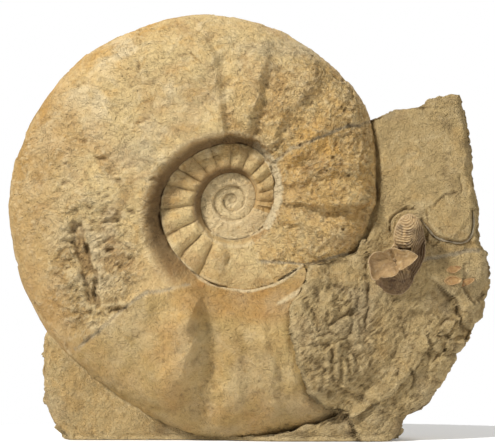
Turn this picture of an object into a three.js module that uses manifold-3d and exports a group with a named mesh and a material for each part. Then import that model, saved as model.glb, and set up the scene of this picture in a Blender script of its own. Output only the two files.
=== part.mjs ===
// An ammonite fossil standing in a block of its own bedding rock, with a curled oyster
// and a few broken shells lying in the same rock.
//
// Millimetres, +Z up. X runs across the fossil, Y through its thickness: the finished face
// looks along -Y. The origin is at the bottom centre of the whole piece, on the sawn base.

import * as THREE from 'three';
import Module from 'manifold-3d';
import { mergeVertices } from 'three/addons/utils/BufferGeometryUtils.js';

const wasm = await Module();
wasm.setup();

// ---------------------------------------------------------------- driving dimensions

const GAP = 0.45; // clearance between touching solids

// The coil. Turn angles are in degrees: 0 is towards +X, 90 is up, and the shell grew with
// a rising angle, from far below zero in the middle to the mouth of the body chamber.
const COIL_CENTRE = { x: -13.5, z: 201 };
const COIL_PLANE_Y = -7;
const MOUTH_TURN = 298;
const RIM_RADII = [
  [-62, 106], [-20, 116], [5, 122], [30, 134], [60, 143], [90, 154], [120, 165], [150, 178],
  [180, 187], [210, 190], [240, 191], [262, 200], [280, 203], [298, 204],
];
const SEAM_RADII = [
  [-1240, 2.5], [-977, 5.3], [-847, 8.5], [-668, 11.4], [-595, 12.1], [-549, 14.9], [-475, 16.6],
  [-369, 19.3], [-305, 22.4], [-227, 23.5], [-180, 26], [-107, 33], [-57, 34], [6, 35], [60, 46],
  [120, 48], [180, 59], [240, 68], [298, 80],
];
const SEAM_TO_OLD_RIM = 0.755; // where a whorl's seam lies on the whorl below it
const HALF_WIDTH_AT_MOUTH = 43; // half of the shell's thickness at its widest
const WIDTH_GROWTH = 0.85; // the width grows a little slower than the radius
const SHOULDER = 0.11; // end of the umbilical wall, as a share of the whorl's height
const CREST = 0.36; // the thickest place, as a share of the whorl's height
const SHOULDER_DROP = 0.08; // how far the shoulder lies below the crest, as a share
const RIM_ROUNDNESS = 2.5; // power of the curve from the crest to the rim

// The block of rock, as seen from the front.
const BLOCK_OUTLINE = [
  [-152, 0], [-161, 12], [-168, 28], [-171, 44], [-172, 66], [-168, 88], [-135, 108],
  [-80, 148], [-20, 190], [45, 230], [103, 266], [124, 277], [146, 279],
  [163, 287], [176, 289.5], [182, 270], [187, 232], [191, 204], [193, 190], [192, 172],
  [198, 158], [202, 142], [202, 128], [197, 118], [193, 100], [185, 88], [175, 70], [163, 50],
  [152, 36], [142, 25], [131, 14], [127, 0],
];
const GRID_STEP = 11; // spacing of the rock's facets
const GRID_RANGE = { left: -176, right: 209, low: -11, high: 297 };
const OUTLINE_DEPTH = 60; // the outline is cut this far either side of the middle
const RIM_OVERLAP = 4; // the rock reaches this far in behind the ammonite's rim
const OPEN_FACE_Y = -20; // bedding plane beside the ammonite
const LOW_FACE_Y = -36; // rock outside the body chamber's mouth
const FOOT_FACE_Y = -12; // rock below the ammonite, behind its rim
const FOOT_RISE = { start: -99, end: -76 }; // turns over which it rises towards the mouth
const HIDDEN_FACE_Y = 6; // where the ammonite covers the rock
// Rock fills the body chamber's mouth: a sector of the coil, filled to a share of its height.
const MOUTH_FILL = { start: -66, end: -18, inner: 78, outer: 190, level: 0.95, fade: 34 };
// The back was broken off in a few flat faces: depth in the middle, and slopes in X and Z.
const BACK_FACES = [
  { y: 48, x: 0, z: 0.015 },
  { y: 60, x: -0.16, z: -0.01 },
  { y: 56, x: 0.13, z: 0.03 },
  { y: 64, x: -0.05, z: -0.11 },
  { y: 72, x: 0.06, z: -0.15 },
];

// The curled oyster, lying on the bedding plane.
const OYSTER = { x: 125, y: -26, z: 150 };
const OYSTER_HALF = { x: 21, y: 17, z: 30 };
const OYSTER_LEAN = 12;
const UMBO = { x: 132, y: -32, z: 174, radius: 14.5, stretch: 1.15, lean: 20 };
const LID = { x: 119, y: -41, z: 146, width: 36, height: 29, thickness: 3.2, lean: 20 };
const LID_ROOM = { margin: 0.6, depth: 30, ahead: 28 }; // cut in front of the lid, to uncover it
const ROUND_DETAIL = 22; // sides of the rounded shells

// Broken shells in the rock: where their middles lie, and their half lengths.
const FRAGMENTS = [
  { x: 171.5, z: 142, long: 7, wide: 3, lean: 6 },
  { x: 170, z: 133, long: 8, wide: 3.6, lean: 8 },
  { x: 183.5, z: 131, long: 7.5, wide: 2.6, lean: 28 },
];
const FRAGMENT_HALF_DEPTH = 4;
const FRAGMENT_SINK = 1.6; // how far a fragment's middle lies behind the rock's face
const SECTION_ARC = { x: 172, z: 188, radius: 18, wall: 1.8, start: -152, end: 6, depth: 12, proud: 1 };

// ---------------------------------------------------------------- colours

const BUFF = new THREE.MeshStandardMaterial({ color: 0xc79c5a, roughness: 0.85, metalness: 0 });
const KHAKI = new THREE.MeshStandardMaterial({ color: 0xa08455, roughness: 0.95, metalness: 0 });
const UMBER = new THREE.MeshStandardMaterial({ color: 0x8f6a43, roughness: 0.7, metalness: 0 });
const FAWN = new THREE.MeshStandardMaterial({ color: 0xa98a66, roughness: 0.65, metalness: 0 });
const RUST = new THREE.MeshStandardMaterial({ color: 0xb2712f, roughness: 0.7, metalness: 0 });
const SLATE = new THREE.MeshStandardMaterial({ color: 0x8a7a60, roughness: 0.7, metalness: 0 });

// ---------------------------------------------------------------- solids

const radians = THREE.MathUtils.degToRad;
const { lerp, smoothstep } = THREE.MathUtils;

function toSolid(geometry) {
  const bare = geometry.clone();
  bare.deleteAttribute('normal');
  bare.deleteAttribute('uv');
  const merged = mergeVertices(bare, 1e-4);
  return new wasm.Manifold(new wasm.Mesh({
    numProp: 3,
    vertProperties: new Float32Array(merged.attributes.position.array),
    triVerts: new Uint32Array(merged.index.array),
  }));
}

function toGeometry(solid) {
  const mesh = solid.getMesh();
  const geometry = new THREE.BufferGeometry();
  geometry.setAttribute('position', new THREE.BufferAttribute(mesh.vertProperties, 3));
  geometry.setIndex(new THREE.BufferAttribute(mesh.triVerts, 1));
  geometry.computeVertexNormals();
  return geometry;
}

// Moves every point outwards along its normal, to make room round a piece.
function grown(geometry, distance) {
  const bare = geometry.clone();
  bare.deleteAttribute('normal');
  bare.deleteAttribute('uv');
  const merged = mergeVertices(bare, 1e-4);
  merged.computeVertexNormals();
  const { position, normal } = merged.attributes;
  for (let i = 0; i < position.count; i += 1) {
    position.setXYZ(
      i,
      position.getX(i) + distance * normal.getX(i),
      position.getY(i) + distance * normal.getY(i),
      position.getZ(i) + distance * normal.getZ(i),
    );
  }
  return merged;
}

function fromFaces(points, faces) {
  const geometry = new THREE.BufferGeometry();
  geometry.setAttribute('position', new THREE.Float32BufferAttribute(points.flat(), 3));
  geometry.setIndex(faces.flat());
  return geometry;
}

// ---------------------------------------------------------------- the ammonite

// Smooth radius at a turn angle, from a short list of [angle, radius].
function radiusAt(list, turn) {
  let i = 0;
  while (i < list.length - 2 && turn > list[i + 1][0]) i += 1;
  const slope = (a, b) => (Math.log(b[1]) - Math.log(a[1])) / (b[0] - a[0]);
  const [from, to] = [list[i], list[i + 1]];
  const before = slope(list[Math.max(i - 1, 0)], to);
  const after = slope(from, list[Math.min(i + 2, list.length - 1)]);
  const span = to[0] - from[0];
  const t = (turn - from[0]) / span;
  const blend = t * t * (3 - 2 * t);
  const bend = span * (before * t * (1 - t) ** 2 - after * t * t * (1 - t));
  return Math.exp(lerp(Math.log(from[1]), Math.log(to[1]), blend) + bend);
}

const seamRadius = (turn) => radiusAt(SEAM_RADII, turn);

function rimRadius(turn) {
  if (turn < RIM_RADII[0][0]) return seamRadius(turn + 360) / SEAM_TO_OLD_RIM;
  return radiusAt(RIM_RADII, turn);
}

function halfWidth(turn) {
  return HALF_WIDTH_AT_MOUTH * (rimRadius(turn) / rimRadius(MOUTH_TURN)) ** WIDTH_GROWTH;
}

// Height of the flank above the coil's middle plane.
function flankHeight(radius, turn) {
  const innermost = SEAM_RADII[0][0];
  if (turn < innermost) return halfWidth(innermost);
  const seam = seamRadius(turn);
  if (radius < seam) return flankHeight(radius, turn - 360);
  const half = halfWidth(turn);
  const u = Math.min((radius - seam) / (rimRadius(turn) - seam), 1);
  if (u > CREST) return half * Math.sqrt(1 - ((u - CREST) / (1 - CREST)) ** RIM_ROUNDNESS);
  if (u > SHOULDER) return half * (1 - SHOULDER_DROP * ((CREST - u) / (CREST - SHOULDER)) ** 2);
  const foot = flankHeight(seam, turn - 360);
  const rise = half * (1 - SHOULDER_DROP) - foot;
  return foot + rise * Math.sin((Math.PI / 2) * (u / SHOULDER)) ** 0.8;
}

// Radii of one radial section, from the middle to the rim: each whorl has its own shares.
function sectionRadii(turn, outerShares, innerShares, whorls) {
  const radii = [];
  for (let whorl = whorls; whorl > 0; whorl -= 1) {
    const low = seamRadius(turn - 360 * whorl);
    const high = seamRadius(turn - 360 * (whorl - 1));
    innerShares.forEach((share) => radii.push(lerp(low, high, share)));
  }
  const seam = seamRadius(turn);
  outerShares.forEach((share) => radii.push(lerp(seam, rimRadius(turn), share)));
  return radii;
}

function ammoniteGeometry() {
  const columns = 60;
  const front = { outer: [0, 0.05, 0.11, 0.22, 0.36, 0.52, 0.67, 0.8, 0.9, 0.965, 1] };
  front.inner = [0, 0.16, 0.36, 0.64, 0.86];
  const back = { outer: [0, 0.11, 0.36, 0.6, 0.8, 0.93, 1], inner: [0, 0.36, 0.8] };
  const points = [];
  const faces = [];
  const place = (radius, turn, height) => {
    const angle = radians(turn);
    points.push([
      COIL_CENTRE.x + radius * Math.cos(angle),
      COIL_PLANE_Y + height,
      COIL_CENTRE.z + radius * Math.sin(angle),
    ]);
    return points.length - 1;
  };
  const frontPole = place(0, 0, -flankHeight(0, 0));
  const backPole = place(0, 0, flankHeight(0, 0));
  const sections = [];
  for (let k = 0; k <= columns; k += 1) {
    const turn = MOUTH_TURN - 360 + (359 * k) / columns;
    const side = (shares, whorls, sign) => sectionRadii(turn, shares.outer, shares.inner, whorls)
      .map((radius) => ({ radius, index: place(radius, turn, sign * flankHeight(radius, turn)) }));
    const near = side(front, 3, -1);
    const far = side(back, 2, 1);
    far[far.length - 1] = near[near.length - 1];
    sections.push({ near, far });
  }
  // Joins two neighbouring radial lines by always stepping along the one that lags.
  const zip = (a, b, pole, flip) => {
    const add = (i, j, k) => faces.push(flip ? [i, k, j] : [i, j, k]);
    add(pole, a[0].index, b[0].index);
    let i = 0;
    let j = 0;
    while (i < a.length - 1 || j < b.length - 1) {
      const atEnd = j === b.length - 1;
      if (atEnd || (i < a.length - 1 && a[i + 1].radius < b[j + 1].radius)) {
        add(a[i].index, a[i + 1].index, b[j].index);
        i += 1;
      } else {
        add(a[i].index, b[j + 1].index, b[j].index);
        j += 1;
      }
    }
  };
  const grid = (a, b, pole, flip) => {
    const add = (i, j, k) => faces.push(flip ? [i, k, j] : [i, j, k]);
    add(pole, a[0].index, b[0].index);
    for (let i = 0; i < a.length - 1; i += 1) {
      add(a[i].index, a[i + 1].index, b[i + 1].index);
      add(a[i].index, b[i + 1].index, b[i].index);
    }
  };
  for (let k = 0; k < columns; k += 1) {
    grid(sections[k].near, sections[k + 1].near, frontPole, false);
    grid(sections[k].far, sections[k + 1].far, backPole, true);
  }
  zip(sections[columns].near, sections[0].near, frontPole, false);
  zip(sections[columns].far, sections[0].far, backPole, true);
  return fromFaces(points, faces);
}

// ---------------------------------------------------------------- the rock

// Front of the rock before the fossils are cut out of it.
function rockFront(x, z) {
  const [dx, dz] = [x - COIL_CENTRE.x, z - COIL_CENTRE.z];
  const radius = Math.hypot(dx, dz);
  const angle = THREE.MathUtils.radToDeg(Math.atan2(dz, dx));
  const turn = angle < MOUTH_TURN - 360 ? angle + 360 : angle;
  const away = Math.max(smoothstep(dx, 90, 225), smoothstep(z, 110, 215));
  const { start, end, inner, outer, level, fade } = MOUTH_FILL;
  const below = Math.abs(angle) > Math.abs(start);
  const beside = lerp(LOW_FACE_Y, OPEN_FACE_Y, away);
  const foot = lerp(FOOT_FACE_Y, beside, smoothstep(angle, FOOT_RISE.start, FOOT_RISE.end));
  const open = below && angle < 0 ? foot : below ? FOOT_FACE_Y : beside;
  if (!below && angle < end && radius > inner) {
    const fill = COIL_PLANE_Y - level * flankHeight(Math.min(radius, outer), MOUTH_TURN);
    return lerp(fill, open, smoothstep(angle - start, 0, fade));
  }
  return radius < rimRadius(turn) - RIM_OVERLAP ? HIDDEN_FACE_Y : open;
}

function rockBack(x, z) {
  return Math.min(...BACK_FACES.map((face) => face.y + face.x * x + face.z * z));
}

function rockGeometry() {
  const xs = [];
  const zs = [];
  const { left, right, low, high } = GRID_RANGE;
  for (let x = left; x <= right; x += GRID_STEP) xs.push(x);
  for (let z = low; z <= high; z += GRID_STEP) zs.push(z);
  const points = [];
  const faces = [];
  const side = (depth) => xs.map((x) => zs.map((z) => {
    points.push([x, depth(x, z), z]);
    return points.length - 1;
  }));
  const near = side(rockFront);
  const far = side(rockBack);
  const quad = (a, b, c, d) => faces.push([a, b, c], [a, c, d]);
  for (let i = 0; i < xs.length - 1; i += 1) {
    for (let k = 0; k < zs.length - 1; k += 1) {
      quad(near[i][k], near[i + 1][k], near[i + 1][k + 1], near[i][k + 1]);
      quad(far[i][k], far[i][k + 1], far[i + 1][k + 1], far[i + 1][k]);
    }
    quad(near[i][0], far[i][0], far[i + 1][0], near[i + 1][0]);
    const top = zs.length - 1;
    quad(near[i][top], near[i + 1][top], far[i + 1][top], far[i][top]);
  }
  for (let k = 0; k < zs.length - 1; k += 1) {
    quad(near[0][k], near[0][k + 1], far[0][k + 1], far[0][k]);
    const end = xs.length - 1;
    quad(near[end][k], far[end][k], far[end][k + 1], near[end][k + 1]);
  }
  return fromFaces(points, faces);
}

// A shape drawn in X and Z, extruded along Y from the near face to the far one.
function slab(shape, nearY, farY) {
  const geometry = new THREE.ExtrudeGeometry(shape, { depth: farY - nearY, bevelEnabled: false });
  geometry.rotateX(Math.PI / 2);
  geometry.translate(0, farY, 0);
  return geometry;
}

// Everything below the sawn base is cut away.
function groundCutter() {
  const [width, depth, height] = [500, 300, 60];
  const geometry = new THREE.BoxGeometry(width, depth, height);
  geometry.translate(0, 0, -height / 2);
  return toSolid(geometry);
}

// ---------------------------------------------------------------- oyster and broken shells

function ellipsoid(middle, half, lean, detail) {
  const geometry = new THREE.SphereGeometry(1, detail, Math.round(detail * 0.6));
  geometry.scale(half.x, half.y, half.z);
  geometry.rotateY(radians(lean));
  geometry.translate(middle.x, middle.y, middle.z);
  return geometry;
}

function lidGeometry(extra) {
  const half = { x: LID.width / 2 + extra, y: LID.thickness / 2 + extra, z: LID.height / 2 + extra };
  return ellipsoid(LID, half, LID.lean, ROUND_DETAIL);
}

function leftValve() {
  const body = toSolid(ellipsoid(OYSTER, OYSTER_HALF, OYSTER_LEAN, ROUND_DETAIL));
  const { radius, stretch, lean } = UMBO;
  const umboHalf = { x: radius, y: radius, z: radius * stretch };
  const umbo = toSolid(ellipsoid(UMBO, umboHalf, lean, ROUND_DETAIL));
  const { margin, depth, ahead } = LID_ROOM;
  const room = { x: LID.width / 2 + margin, y: depth, z: LID.height / 2 + margin };
  const above = ellipsoid({ x: LID.x, y: LID.y - ahead, z: LID.z }, room, LID.lean, ROUND_DETAIL);
  return body.add(umbo).subtract(toSolid(lidGeometry(GAP))).subtract(toSolid(above));
}

function fragmentGeometry({ x, z, long, wide, lean }) {
  const y = rockFront(x, z) + FRAGMENT_SINK;
  const half = { x: long, y: FRAGMENT_HALF_DEPTH, z: wide };
  return ellipsoid({ x, y, z }, half, -lean, ROUND_DETAIL);
}

function sectionGeometry() {
  const { x, z, radius, wall, start, end, depth, proud } = SECTION_ARC;
  const shape = new THREE.Shape();
  shape.absarc(x, z, radius + wall, radians(start), radians(end), false);
  shape.absarc(x, z, radius, radians(end), radians(start), true);
  const y = Math.min(rockFront(x - radius, z - radius), rockFront(x, z - radius));
  return slab(shape, y - proud, y + depth);
}

// ---------------------------------------------------------------- assembly

const group = new THREE.Group();

function addPiece(name, geometry, material) {
  const mesh = new THREE.Mesh(geometry, material);
  mesh.name = name;
  group.add(mesh);
}

const ground = groundCutter();
const ammonite = toGeometry(toSolid(ammoniteGeometry()).subtract(ground));
const oysterLeft = toGeometry(leftValve());
const oysterRight = lidGeometry(0);
const fragments = FRAGMENTS.map(fragmentGeometry);
const shellSection = sectionGeometry();

const outline = new THREE.Shape(BLOCK_OUTLINE.map(([x, z]) => new THREE.Vector2(x, z)));
const cutter = toSolid(slab(outline, -OUTLINE_DEPTH, OUTLINE_DEPTH));
let rock = toSolid(rockGeometry()).intersect(cutter).subtract(ground);
[ammonite, oysterLeft, oysterRight, ...fragments, shellSection].forEach((piece) => {
  rock = rock.subtract(toSolid(grown(piece, GAP)));
});

addPiece('ammonite', ammonite, BUFF);
addPiece('matrix_block', toGeometry(rock), KHAKI);
addPiece('oyster_left_valve', oysterLeft, UMBER);
addPiece('oyster_right_valve', oysterRight, FAWN);
addPiece('shell_section', shellSection, SLATE);
fragments.forEach((piece, i) => addPiece(`shell_fragment_${i + 1}`, piece, RUST));

export default group;
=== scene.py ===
import math

import bmesh
import bpy
import numpy as np
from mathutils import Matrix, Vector


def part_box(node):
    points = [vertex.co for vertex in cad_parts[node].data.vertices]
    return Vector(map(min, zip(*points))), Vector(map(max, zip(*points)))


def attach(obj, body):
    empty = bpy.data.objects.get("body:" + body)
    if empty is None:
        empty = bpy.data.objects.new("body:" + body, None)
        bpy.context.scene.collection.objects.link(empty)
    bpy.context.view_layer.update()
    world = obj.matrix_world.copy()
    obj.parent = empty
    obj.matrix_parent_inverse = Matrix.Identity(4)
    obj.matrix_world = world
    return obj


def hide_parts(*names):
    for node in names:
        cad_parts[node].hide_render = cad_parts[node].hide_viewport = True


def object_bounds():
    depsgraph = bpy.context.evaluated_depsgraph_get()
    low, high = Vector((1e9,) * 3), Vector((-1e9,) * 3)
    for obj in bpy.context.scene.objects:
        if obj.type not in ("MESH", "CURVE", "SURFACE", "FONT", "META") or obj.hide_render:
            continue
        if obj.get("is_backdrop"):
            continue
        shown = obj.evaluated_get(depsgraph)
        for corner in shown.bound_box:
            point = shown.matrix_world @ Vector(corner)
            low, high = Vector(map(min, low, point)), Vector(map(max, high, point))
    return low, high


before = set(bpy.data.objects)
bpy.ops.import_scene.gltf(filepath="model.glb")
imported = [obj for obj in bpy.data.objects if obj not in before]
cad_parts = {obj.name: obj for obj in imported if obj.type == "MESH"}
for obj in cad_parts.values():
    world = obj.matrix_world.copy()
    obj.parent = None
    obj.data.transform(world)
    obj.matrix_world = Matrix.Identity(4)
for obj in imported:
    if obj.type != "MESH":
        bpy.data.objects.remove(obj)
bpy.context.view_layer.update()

# ------------------------------------------------------------------ the ammonite
# The shell of a large ammonite, turned to stone: buff limestone that filled the coiled
# chambers. The shell itself has mostly flaked off, so the left flank is rough and pitted, the
# body chamber below is smooth, and the inner whorls still carry their ribs.

MM = 0.001
low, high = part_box("ammonite")
COIL_X = low.x / MM + 187.3
COIL_Y = (low.y + high.y) / (2 * MM)
COIL_Z = high.z / MM - 155.3
MOUTH_TURN = 298
RIM_RADII = [
    (-62, 106), (-20, 116), (5, 122), (30, 134), (60, 143), (90, 154), (120, 165), (150, 178),
    (180, 187), (210, 190), (240, 191), (262, 200), (280, 203), (298, 204),
]
SEAM_RADII = [
    (-1240, 2.5), (-977, 5.3), (-847, 8.5), (-668, 11.4), (-595, 12.1), (-549, 14.9),
    (-475, 16.6), (-369, 19.3), (-305, 22.4), (-227, 23.5), (-180, 26), (-107, 33), (-57, 34),
    (6, 35), (60, 46), (120, 48), (180, 59), (240, 68), (298, 80),
]
SEAM_TO_OLD_RIM = 0.755
HALF_WIDTH = 42.0
WIDTH_GROWTH = 0.85
CREST = 0.36
FLANK_POWER = 2.9
WALL_SHARE = 0.09
WALL_RISE = 0.84

# Turn angles of the ribs' crests on the second whorl.
RIB_CRESTS = [
    -371, -354, -338, -317, -301, -278, -257, -237, -217, -202, -183, -160, -141, -122, -105,
]
INNER_RIB_PITCH = 11.5


def radius_at(table, turn):
    """Smooth radius at a turn angle, from a short list of (angle, radius)."""
    angles = np.array([row[0] for row in table], float)
    logs = np.log([row[1] for row in table])
    slopes = np.gradient(logs, angles)
    i = np.clip(np.searchsorted(angles, turn) - 1, 0, len(angles) - 2)
    span = angles[i + 1] - angles[i]
    t = (turn - angles[i]) / span
    blend = t * t * (3 - 2 * t)
    bend = span * (slopes[i] * t * (1 - t) ** 2 - slopes[i + 1] * t * t * (1 - t))
    return np.exp(logs[i] * (1 - blend) + logs[i + 1] * blend + bend)


def seam_radius(turn):
    return radius_at(SEAM_RADII, np.maximum(turn, SEAM_RADII[0][0]))


def rim_radius(turn):
    hidden = seam_radius(turn + 360) / SEAM_TO_OLD_RIM
    return np.where(turn < RIM_RADII[0][0], hidden, radius_at(RIM_RADII, turn))


def half_width(turn):
    grown = rim_radius(turn) / rim_radius(np.array(float(MOUTH_TURN)))
    return HALF_WIDTH * grown ** WIDTH_GROWTH


def outer_flank(share, half):
    """Height of the flank from the crest outwards, falling to nothing at the rim."""
    t = np.clip((share - CREST) / (1 - CREST), 0, 1)
    return half * np.sqrt(1 - t ** FLANK_POWER)


def wall_share(turn):
    """Share of the whorl that the umbilical wall takes; it is broader and rounder lower down."""
    return WALL_SHARE * (1 + 1.1 * np.clip((turn - 165) / 70, 0, 1))


def flank(radius, turn):
    """Height of the flank above the coil's middle plane, with the whorl's turn and share."""
    turn = np.array(turn, float)
    for _ in range(4):
        turn = np.where(radius < seam_radius(turn), turn - 360, turn)
    seam, rim, half = seam_radius(turn), rim_radius(turn), half_width(turn)
    share = np.clip((radius - seam) / (rim - seam), 0, 1)
    below = turn - 360
    old_share = (seam - seam_radius(below)) / (rim_radius(below) - seam_radius(below))
    foot = outer_flank(old_share, half_width(below))
    steep = 1 - (1 - np.clip(share / wall_share(turn), 0, 1)) ** 1.5
    gentle = 1 - (1 - np.clip(share / CREST, 0, 1)) ** 2
    rise = WALL_RISE - 1.6 * (wall_share(turn) - WALL_SHARE)
    wall = foot + (half - foot) * (rise * steep + (1 - rise) * gentle)
    return np.where(share > CREST, outer_flank(share, half), wall), turn, share


def even_shares(count, low_turn):
    """Shares from the seam to the rim at equal steps along the section."""
    turn = np.full(3000, float(low_turn))
    share = np.linspace(0, 1, 3000)
    seam, rim = seam_radius(turn), rim_radius(turn)
    radius = seam + share * (rim - seam)
    height = flank(radius + 1e-6, turn)[0]
    run = np.concatenate([[0], np.cumsum(np.hypot(np.diff(radius), np.diff(height)))])
    return np.interp(np.linspace(0, run[-1], count + 1), run, share)


def stitch(a, b):
    """Triangles between two neighbouring rings of points, b having as many or half as many."""
    if len(a) < len(b):
        return stitch(b, a)[:, ::-1]
    if len(a) == len(b):
        one = np.stack([a[:-1], b[1:], a[1:]], 1)
        two = np.stack([a[:-1], b[:-1], b[1:]], 1)
        return np.concatenate([one, two])
    first, middle, last = a[:-1:2], a[1::2], a[2::2]
    return np.concatenate([
        np.stack([first, b[:-1], middle], 1),
        np.stack([middle, b[:-1], b[1:]], 1),
        np.stack([middle, b[1:], last], 1),
    ])


def zip_edges(a, b, radius):
    """Triangles between two radial lines of points, stepping along the one that lags."""
    out, i, j = [], 0, 0
    while i < len(a) - 1 or j < len(b) - 1:
        step_a = j == len(b) - 1 or (i < len(a) - 1 and radius[a[i + 1]] < radius[b[j + 1]])
        if step_a:
            out.append((a[i], a[i + 1], b[j]))
            i += 1
        else:
            out.append((a[i], b[j + 1], b[j]))
            j += 1
    return np.array(out)


def hashed(cell, seed):
    """A steady scrambled number for each whole-number point."""
    c = cell.astype(np.uint32)
    h = c[..., 0] * np.uint32(374761393) + c[..., 1] * np.uint32(668265263)
    h = h + c[..., 2] * np.uint32(2246822519) + np.uint32(seed * 974634777 % 2 ** 32)
    h = (h ^ (h >> np.uint32(13))) * np.uint32(1274126177)
    return h ^ (h >> np.uint32(16))


def grain(p, size, seed):
    """Smooth gradient noise from about -1 to 1, with lumps of the given size."""
    q = p / size
    cell = np.floor(q).astype(np.int64)
    f = q - cell
    w = f * f * f * (f * (f * 6 - 15) + 10)
    total = np.zeros(len(p))
    for corner in np.ndindex(2, 2, 2):
        corner = np.array(corner)
        h = hashed(cell + corner, seed)
        d = f - corner
        g = sum((((h >> np.uint32(10 * k)) & np.uint32(1023)) / 511.5 - 1) * d[:, k] for k in range(3))
        total += g * np.prod(np.where(corner == 1, w, 1 - w), axis=1)
    return 1.5 * total


def layered(p, size, layers, seed, gain=0.5):
    """Several sizes of grain added up, each half the size of the last."""
    return sum(grain(p, size / 2 ** k, seed + k) * gain ** k for k in range(layers))


def spots(p, size, seed):
    """Distance to the nearest scattered point, and that point's own number from 0 to 1."""
    q = p / size
    cell = np.floor(q).astype(np.int64)
    nearest = np.full(len(p), 9.0)
    owner = np.zeros(len(p))
    for shift in np.ndindex(3, 3, 3):
        c = cell + np.array(shift) - 1
        h = hashed(c, seed)
        spot = np.stack([((h >> np.uint32(10 * k)) & np.uint32(1023)) / 1023 for k in range(3)], 1)
        away = np.linalg.norm(c + spot - q, axis=1)
        closer = away < nearest
        nearest = np.where(closer, away, nearest)
        owner = np.where(closer, (h & np.uint32(4095)) / 4095, owner)
    return nearest * size, owner


def ramp(value, start, end):
    t = np.clip((value - start) / (end - start), 0, 1)
    return t * t * (3 - 2 * t)


def blot(x, z, middle, reach, soft=0.5):
    """1 inside an oval, falling to 0 outside."""
    away = np.hypot((x - middle[0]) / reach[0], (z - middle[1]) / reach[1])
    return 1 - ramp(away, 1 - soft, 1 + soft)


def line_distance(x, z, route):
    """Distance to a line through a few points."""
    best = np.full(len(x), 1e9)
    for (ax, az), (bx, bz) in zip(route, route[1:]):
        length = (bx - ax) ** 2 + (bz - az) ** 2
        t = np.clip(((x - ax) * (bx - ax) + (z - az) * (bz - az)) / length, 0, 1)
        best = np.minimum(best, np.hypot(x - ax - t * (bx - ax), z - az - t * (bz - az)))
    return best


def terraces(value, steps):
    """Turns a smooth height into flaked layers with crisp edges."""
    t = value * steps
    return (np.floor(t) + ramp(t - np.floor(t), 0.7, 1.0)) / steps


def point_normals(points, faces):
    normals = np.zeros_like(points)
    corners = points[faces]
    face_normals = np.cross(corners[:, 1] - corners[:, 0], corners[:, 2] - corners[:, 0])
    for k in range(3):
        np.add.at(normals, faces[:, k], face_normals)
    return normals / np.maximum(np.linalg.norm(normals, axis=1, keepdims=True), 1e-12)


def hollowness(points, faces, rounds=6):
    """How deep each point lies in a hollow, in mm: below zero on an edge that stands out."""
    edges = np.concatenate([faces[:, [0, 1]], faces[:, [1, 2]], faces[:, [2, 0]]])
    count = np.zeros(len(points))
    np.add.at(count, edges[:, 0], 1)
    smooth = points.copy()
    for _ in range(rounds):
        total = np.zeros_like(points)
        for axis in range(3):
            total[:, axis] = np.bincount(edges[:, 0], smooth[edges[:, 1], axis], len(points))
        smooth = 0.5 * smooth + 0.5 * total / np.maximum(count, 1)[:, None]
    return np.sum((smooth - points) * point_normals(points, faces), axis=1)


def stone_mesh(name, points, faces, uv, colours):
    """A smooth-shaded mesh from points in mm, with a bake layout and named colour layers."""
    mesh = bpy.data.meshes.new(name)
    mesh.from_pydata(points * MM, [], faces)
    mesh.shade_smooth()
    corner_points = np.zeros(len(mesh.loops), np.int64)
    mesh.loops.foreach_get("vertex_index", corner_points)
    layout = mesh.uv_layers.new(name="OFBake")
    layout.data.foreach_set("uv", uv[corner_points].ravel())
    for layer, values in colours.items():
        attribute = mesh.attributes.new(layer, "FLOAT", "POINT")
        attribute.data.foreach_set("value", np.clip(values, 0, 1))
    mesh.validate()
    piece = bpy.data.objects.new(name, mesh)
    bpy.context.scene.collection.objects.link(piece)
    return piece


# Rings of points run from the middle of the near side over the rim to the middle of the back.
FULL, HALF, QUARTER = 801, 401, 201
outer = even_shares(76, 180)
outer_back = even_shares(26, 180)[::-1][1:]
rings = []
for whorls_in, count, columns in ((3, 10, QUARTER), (2, 16, HALF), (1, 34, HALF)):
    rings += [(whorls_in, share, columns, -1) for share in np.linspace(0, 1, count, endpoint=False)]
rings = [(4, share, QUARTER, -1) for share in (0.25, 0.5, 0.75)] + rings
rings += [(0, share, FULL, -1) for share in outer]
rings += [(0, share, HALF, 1) for share in outer_back]
rings += [(1, share, QUARTER, 1) for share in np.linspace(1, 0, 10, endpoint=False)[1:]]
rings += [(2, share, QUARTER, 1) for share in np.linspace(1, 0, 5, endpoint=False)]

points, radii, turns, shares, sides, members = [], [], [], [], [], []
total = 0
for whorls_in, share, columns, side in rings:
    turn = np.linspace(MOUTH_TURN - 360, MOUTH_TURN - 1, columns)
    if whorls_in == 4:
        radius = seam_radius(turn - 1080) * share
    elif whorls_in:
        inner, rim = seam_radius(turn - 360 * whorls_in), seam_radius(turn - 360 * (whorls_in - 1))
        radius = inner + (rim - inner) * share
    else:
        inner, rim = seam_radius(turn), rim_radius(turn)
        radius = inner + (rim - inner) * share
    height, own_turn, own_share = flank(radius, turn)
    angle = np.radians(turn)
    points.append(np.stack([
        COIL_X + radius * np.cos(angle), COIL_Y + side * height, COIL_Z + radius * np.sin(angle),
    ], 1))
    radii.append(radius)
    turns.append(own_turn)
    shares.append(own_share)
    sides.append(np.full(columns, side))
    members.append(np.arange(total, total + columns))
    total += columns
centre_height = float(flank(np.array([0.5]), np.array([0.0]))[0][0])
points.append([[COIL_X, COIL_Y - centre_height, COIL_Z], [COIL_X, COIL_Y + centre_height, COIL_Z]])
points = np.concatenate(points)
radii = np.concatenate(radii + [[0.0, 0.0]])
turns = np.concatenate(turns + [[-1240.0, -1240.0]])
shares = np.concatenate(shares + [[0.5, 0.5]])
sides = np.concatenate(sides + [[-1, 1]])
near_pole, far_pole = total, total + 1

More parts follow.
